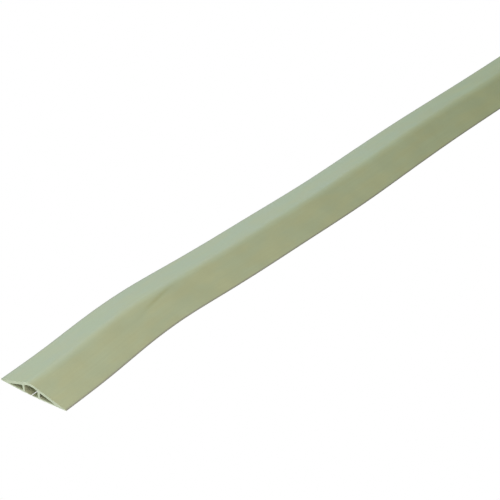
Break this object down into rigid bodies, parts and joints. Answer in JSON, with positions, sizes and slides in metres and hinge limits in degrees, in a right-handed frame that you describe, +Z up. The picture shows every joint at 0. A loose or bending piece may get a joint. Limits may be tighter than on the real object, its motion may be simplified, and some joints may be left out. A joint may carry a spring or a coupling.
{
  "type": "cable protector ramp",
  "caption": "Low soft strip laid over cables on a floor: two sloping sides, a rounded top, a middle cable channel and a base slit lengthwise between folding lips.",
  "frame": {"origin": "centre of the bounding box, on the floor under the strip", "axes": "+X along the strip from the cut front end to the back end, +Y to its left, +Z up"},
  "size_m": [1.002, 0.0957, 0.0134],
  "materials": {
    "soft_pvc": "matte",
    "lip_pvc": "matte"
  },
  "bodies": {
    "profile": {"roof_1": "soft_pvc", "roof_2": "soft_pvc", "roof_3": "soft_pvc", "roof_4": "soft_pvc", "left_ramp_1": "soft_pvc", "left_ramp_2": "soft_pvc", "left_ramp_3": "soft_pvc", "left_ramp_4": "soft_pvc", "right_ramp_1": "soft_pvc", "right_ramp_2": "soft_pvc", "right_ramp_3": "soft_pvc", "right_ramp_4": "soft_pvc", "left_rib_1": "soft_pvc", "left_rib_2": "soft_pvc", "left_rib_3": "soft_pvc", "left_rib_4": "soft_pvc", "right_rib_1": "soft_pvc", "right_rib_2": "soft_pvc", "right_rib_3": "soft_pvc", "right_rib_4": "soft_pvc", "left_base_1": "soft_pvc", "left_base_2": "soft_pvc", "left_base_3": "soft_pvc", "left_base_4": "soft_pvc", "right_base_1": "soft_pvc", "right_base_2": "soft_pvc", "right_base_3": "soft_pvc", "right_base_4": "soft_pvc"},
    "left_lip_01": {"left_lip_01": "lip_pvc"},
    "left_lip_02": {"left_lip_02": "lip_pvc"},
    "left_lip_03": {"left_lip_03": "lip_pvc"},
    "left_lip_04": {"left_lip_04": "lip_pvc"},
    "left_lip_05": {"left_lip_05": "lip_pvc"},
    "left_lip_06": {"left_lip_06": "lip_pvc"},
    "left_lip_07": {"left_lip_07": "lip_pvc"},
    "left_lip_08": {"left_lip_08": "lip_pvc"},
    "left_lip_09": {"left_lip_09": "lip_pvc"},
    "left_lip_10": {"left_lip_10": "lip_pvc"},
    "left_lip_11": {"left_lip_11": "lip_pvc"},
    "left_lip_12": {"left_lip_12": "lip_pvc"},
    "left_lip_13": {"left_lip_13": "lip_pvc"},
    "left_lip_14": {"left_lip_14": "lip_pvc"},
    "left_lip_15": {"left_lip_15": "lip_pvc"},
    "left_lip_16": {"left_lip_16": "lip_pvc"},
    "right_lip_01": {"right_lip_01": "lip_pvc"},
    "right_lip_02": {"right_lip_02": "lip_pvc"},
    "right_lip_03": {"right_lip_03": "lip_pvc"},
    "right_lip_04": {"right_lip_04": "lip_pvc"},
    "right_lip_05": {"right_lip_05": "lip_pvc"},
    "right_lip_06": {"right_lip_06": "lip_pvc"},
    "right_lip_07": {"right_lip_07": "lip_pvc"},
    "right_lip_08": {"right_lip_08": "lip_pvc"},
    "right_lip_09": {"right_lip_09": "lip_pvc"},
    "right_lip_10": {"right_lip_10": "lip_pvc"},
    "right_lip_11": {"right_lip_11": "lip_pvc"},
    "right_lip_12": {"right_lip_12": "lip_pvc"},
    "right_lip_13": {"right_lip_13": "lip_pvc"},
    "right_lip_14": {"right_lip_14": "lip_pvc"},
    "right_lip_15": {"right_lip_15": "lip_pvc"},
    "right_lip_16": {"right_lip_16": "lip_pvc"}
  },
  "joints": [
    {"name": "left_lip_fold_01", "type": "hinge", "parent": "profile", "child": "left_lip_01", "pos_m": [-0.46839, 0.00378, 0.0009], "axis": [-0.9984, -0.0558, 0], "range_deg": [-72, 72], "stiffness_Nm_per_rad": 0.02},
    {"name": "left_lip_fold_02", "type": "hinge", "parent": "profile", "child": "left_lip_02", "pos_m": [-0.40617, 0.00862, 0.0009], "axis": [-0.9956, -0.0942, 0], "range_deg": [-72, 72], "stiffness_Nm_per_rad": 0.02},
    {"name": "left_lip_fold_03", "type": "hinge", "parent": "profile", "child": "left_lip_03", "pos_m": [-0.34322, 0.013, 0.0009], "axis": [-0.9995, -0.032, 0], "range_deg": [-72, 72], "stiffness_Nm_per_rad": 0.02},
    {"name": "left_lip_fold_04", "type": "hinge", "parent": "profile", "child": "left_lip_04", "pos_m": [-0.28008, 0.01201, 0.0009], "axis": [-0.9984, 0.0561, 0], "range_deg": [-72, 72], "stiffness_Nm_per_rad": 0.02},
    {"name": "left_lip_fold_05", "type": "hinge", "parent": "profile", "child": "left_lip_05", "pos_m": [-0.21763, 0.00843, 0.0009], "axis": [-0.9988, 0.0495, 0], "range_deg": [-72, 72], "stiffness_Nm_per_rad": 0.02},
    {"name": "left_lip_fold_06", "type": "hinge", "parent": "profile", "child": "left_lip_06", "pos_m": [-0.15525, 0.00598, 0.0009], "axis": [-0.9995, 0.0319, 0], "range_deg": [-72, 72], "stiffness_Nm_per_rad": 0.02},
    {"name": "left_lip_fold_07", "type": "hinge", "parent": "profile", "child": "left_lip_07", "pos_m": [-0.09274, 0.00393, 0.0009], "axis": [-0.9994, 0.0336, 0], "range_deg": [-72, 72], "stiffness_Nm_per_rad": 0.02},
    {"name": "left_lip_fold_08", "type": "hinge", "parent": "profile", "child": "left_lip_08", "pos_m": [-0.03036, 0.00223, 0.0009], "axis": [-0.9998, 0.0176, 0], "range_deg": [-72, 72], "stiffness_Nm_per_rad": 0.02},
    {"name": "left_lip_fold_09", "type": "hinge", "parent": "profile", "child": "left_lip_09", "pos_m": [0.03193, 0.00208, 0.0009], "axis": [-0.9999, -0.0112, 0], "range_deg": [-72, 72], "stiffness_Nm_per_rad": 0.02},
    {"name": "left_lip_fold_10", "type": "hinge", "parent": "profile", "child": "left_lip_10", "pos_m": [0.09442, 0.00292, 0.0009], "axis": [-0.9999, -0.0128, 0], "range_deg": [-72, 72], "stiffness_Nm_per_rad": 0.02},
    {"name": "left_lip_fold_11", "type": "hinge", "parent": "profile", "child": "left_lip_11", "pos_m": [0.15699, 0.00345, 0.0009], "axis": [-1, -0.0032, 0], "range_deg": [-72, 72], "stiffness_Nm_per_rad": 0.02},
    {"name": "left_lip_fold_12", "type": "hinge", "parent": "profile", "child": "left_lip_12", "pos_m": [0.21961, 0.00315, 0.0009], "axis": [-0.9999, 0.0128, 0], "range_deg": [-72, 72], "stiffness_Nm_per_rad": 0.02},
    {"name": "left_lip_fold_13", "type": "hinge", "parent": "profile", "child": "left_lip_13", "pos_m": [0.28214, 0.00213, 0.0009], "axis": [-0.9998, 0.0176, 0], "range_deg": [-72, 72], "stiffness_Nm_per_rad": 0.02},
    {"name": "left_lip_fold_14", "type": "hinge", "parent": "profile", "child": "left_lip_14", "pos_m": [0.34458, 0.00126, 0.0009], "axis": [-1, 0.0096, 0], "range_deg": [-72, 72], "stiffness_Nm_per_rad": 0.02},
    {"name": "left_lip_fold_15", "type": "hinge", "parent": "profile", "child": "left_lip_15", "pos_m": [0.40703, 0.00092, 0.0009], "axis": [-1, 0.0016, 0], "range_deg": [-72, 72], "stiffness_Nm_per_rad": 0.02},
    {"name": "left_lip_fold_16", "type": "hinge", "parent": "profile", "child": "left_lip_16", "pos_m": [0.46948, 0.00103, 0.0009], "axis": [-1, -0.0048, 0], "range_deg": [-72, 72], "stiffness_Nm_per_rad": 0.02},
    {"name": "right_lip_fold_01", "type": "hinge", "parent": "profile", "child": "right_lip_01", "pos_m": [-0.46758, -0.0108, 0.0009], "axis": [0.9984, 0.0558, 0], "range_deg": [-72, 72], "stiffness_Nm_per_rad": 0.02},
    {"name": "right_lip_fold_02", "type": "hinge", "parent": "profile", "child": "right_lip_02", "pos_m": [-0.4048, -0.00591, 0.0009], "axis": [0.9956, 0.0942, 0], "range_deg": [-72, 72], "stiffness_Nm_per_rad": 0.02},
    {"name": "right_lip_fold_03", "type": "hinge", "parent": "profile", "child": "right_lip_03", "pos_m": [-0.34275, -0.00159, 0.0009], "axis": [0.9995, 0.032, 0], "range_deg": [-72, 72], "stiffness_Nm_per_rad": 0.02},
    {"name": "right_lip_fold_04", "type": "hinge", "parent": "profile", "child": "right_lip_04", "pos_m": [-0.2809, -0.00257, 0.0009], "axis": [0.9984, -0.0561, 0], "range_deg": [-72, 72], "stiffness_Nm_per_rad": 0.02},
    {"name": "right_lip_fold_05", "type": "hinge", "parent": "profile", "child": "right_lip_05", "pos_m": [-0.21835, -0.00615, 0.0009], "axis": [0.9988, -0.0495, 0], "range_deg": [-72, 72], "stiffness_Nm_per_rad": 0.02},
    {"name": "right_lip_fold_06", "type": "hinge", "parent": "profile", "child": "right_lip_06", "pos_m": [-0.15572, -0.00862, 0.0009], "axis": [0.9995, -0.0319, 0], "range_deg": [-72, 72], "stiffness_Nm_per_rad": 0.02},
    {"name": "right_lip_fold_07", "type": "hinge", "parent": "profile", "child": "right_lip_07", "pos_m": [-0.09323, -0.01066, 0.0009], "axis": [0.9994, -0.0336, 0], "range_deg": [-72, 72], "stiffness_Nm_per_rad": 0.02},
    {"name": "right_lip_fold_08", "type": "hinge", "parent": "profile", "child": "right_lip_08", "pos_m": [-0.03061, -0.01237, 0.0009], "axis": [0.9998, -0.0176, 0], "range_deg": [-72, 72], "stiffness_Nm_per_rad": 0.02},
    {"name": "right_lip_fold_09", "type": "hinge", "parent": "profile", "child": "right_lip_09", "pos_m": [0.0321, -0.01252, 0.0009], "axis": [0.9999, 0.0112, 0], "range_deg": [-72, 72], "stiffness_Nm_per_rad": 0.02},
    {"name": "right_lip_fold_10", "type": "hinge", "parent": "profile", "child": "right_lip_10", "pos_m": [0.09461, -0.01167, 0.0009], "axis": [0.9999, 0.0128, 0], "range_deg": [-72, 72], "stiffness_Nm_per_rad": 0.02},
    {"name": "right_lip_fold_11", "type": "hinge", "parent": "profile", "child": "right_lip_11", "pos_m": [0.15704, -0.01115, 0.0009], "axis": [1, 0.0032, 0], "range_deg": [-72, 72], "stiffness_Nm_per_rad": 0.02},
    {"name": "right_lip_fold_12", "type": "hinge", "parent": "profile", "child": "right_lip_12", "pos_m": [0.21942, -0.01145, 0.0009], "axis": [0.9999, -0.0128, 0], "range_deg": [-72, 72], "stiffness_Nm_per_rad": 0.02},
    {"name": "right_lip_fold_13", "type": "hinge", "parent": "profile", "child": "right_lip_13", "pos_m": [0.28188, -0.01247, 0.0009], "axis": [0.9998, -0.0176, 0], "range_deg": [-72, 72], "stiffness_Nm_per_rad": 0.02},
    {"name": "right_lip_fold_14", "type": "hinge", "parent": "profile", "child": "right_lip_14", "pos_m": [0.34444, -0.01334, 0.0009], "axis": [1, -0.0096, 0], "range_deg": [-72, 72], "stiffness_Nm_per_rad": 0.02},
    {"name": "right_lip_fold_15", "type": "hinge", "parent": "profile", "child": "right_lip_15", "pos_m": [0.407, -0.01368, 0.0009], "axis": [1, -0.0016, 0], "range_deg": [-72, 72], "stiffness_Nm_per_rad": 0.02},
    {"name": "right_lip_fold_16", "type": "hinge", "parent": "profile", "child": "right_lip_16", "pos_m": [0.46955, -0.01357, 0.0009], "axis": [1, 0.0048, 0], "range_deg": [-72, 72], "stiffness_Nm_per_rad": 0.02}
  ],
  "couplings": [
    {"joint": "left_lip_fold_02", "follows": "left_lip_fold_01", "ratio": 1},
    {"joint": "left_lip_fold_03", "follows": "left_lip_fold_01", "ratio": 1},
    {"joint": "left_lip_fold_04", "follows": "left_lip_fold_01", "ratio": 1},
    {"joint": "left_lip_fold_05", "follows": "left_lip_fold_01", "ratio": 1},
    {"joint": "left_lip_fold_06", "follows": "left_lip_fold_01", "ratio": 1},
    {"joint": "left_lip_fold_07", "follows": "left_lip_fold_01", "ratio": 1},
    {"joint": "left_lip_fold_08", "follows": "left_lip_fold_01", "ratio": 1},
    {"joint": "left_lip_fold_09", "follows": "left_lip_fold_01", "ratio": 1},
    {"joint": "left_lip_fold_10", "follows": "left_lip_fold_01", "ratio": 1},
    {"joint": "left_lip_fold_11", "follows": "left_lip_fold_01", "ratio": 1},
    {"joint": "left_lip_fold_12", "follows": "left_lip_fold_01", "ratio": 1},
    {"joint": "left_lip_fold_13", "follows": "left_lip_fold_01", "ratio": 1},
    {"joint": "left_lip_fold_14", "follows": "left_lip_fold_01", "ratio": 1},
    {"joint": "left_lip_fold_15", "follows": "left_lip_fold_01", "ratio": 1},
    {"joint": "left_lip_fold_16", "follows": "left_lip_fold_01", "ratio": 1},
    {"joint": "right_lip_fold_02", "follows": "right_lip_fold_01", "ratio": 1},
    {"joint": "right_lip_fold_03", "follows": "right_lip_fold_01", "ratio": 1},
    {"joint": "right_lip_fold_04", "follows": "right_lip_fold_01", "ratio": 1},
    {"joint": "right_lip_fold_05", "follows": "right_lip_fold_01", "ratio": 1},
    {"joint": "right_lip_fold_06", "follows": "right_lip_fold_01", "ratio": 1},
    {"joint": "right_lip_fold_07", "follows": "right_lip_fold_01", "ratio": 1},
    {"joint": "right_lip_fold_08", "follows": "right_lip_fold_01", "ratio": 1},
    {"joint": "right_lip_fold_09", "follows": "right_lip_fold_01", "ratio": 1},
    {"joint": "right_lip_fold_10", "follows": "right_lip_fold_01", "ratio": 1},
    {"joint": "right_lip_fold_11", "follows": "right_lip_fold_01", "ratio": 1},
    {"joint": "right_lip_fold_12", "follows": "right_lip_fold_01", "ratio": 1},
    {"joint": "right_lip_fold_13", "follows": "right_lip_fold_01", "ratio": 1},
    {"joint": "right_lip_fold_14", "follows": "right_lip_fold_01", "ratio": 1},
    {"joint": "right_lip_fold_15", "follows": "right_lip_fold_01", "ratio": 1},
    {"joint": "right_lip_fold_16", "follows": "right_lip_fold_01", "ratio": 1}
  ]
}
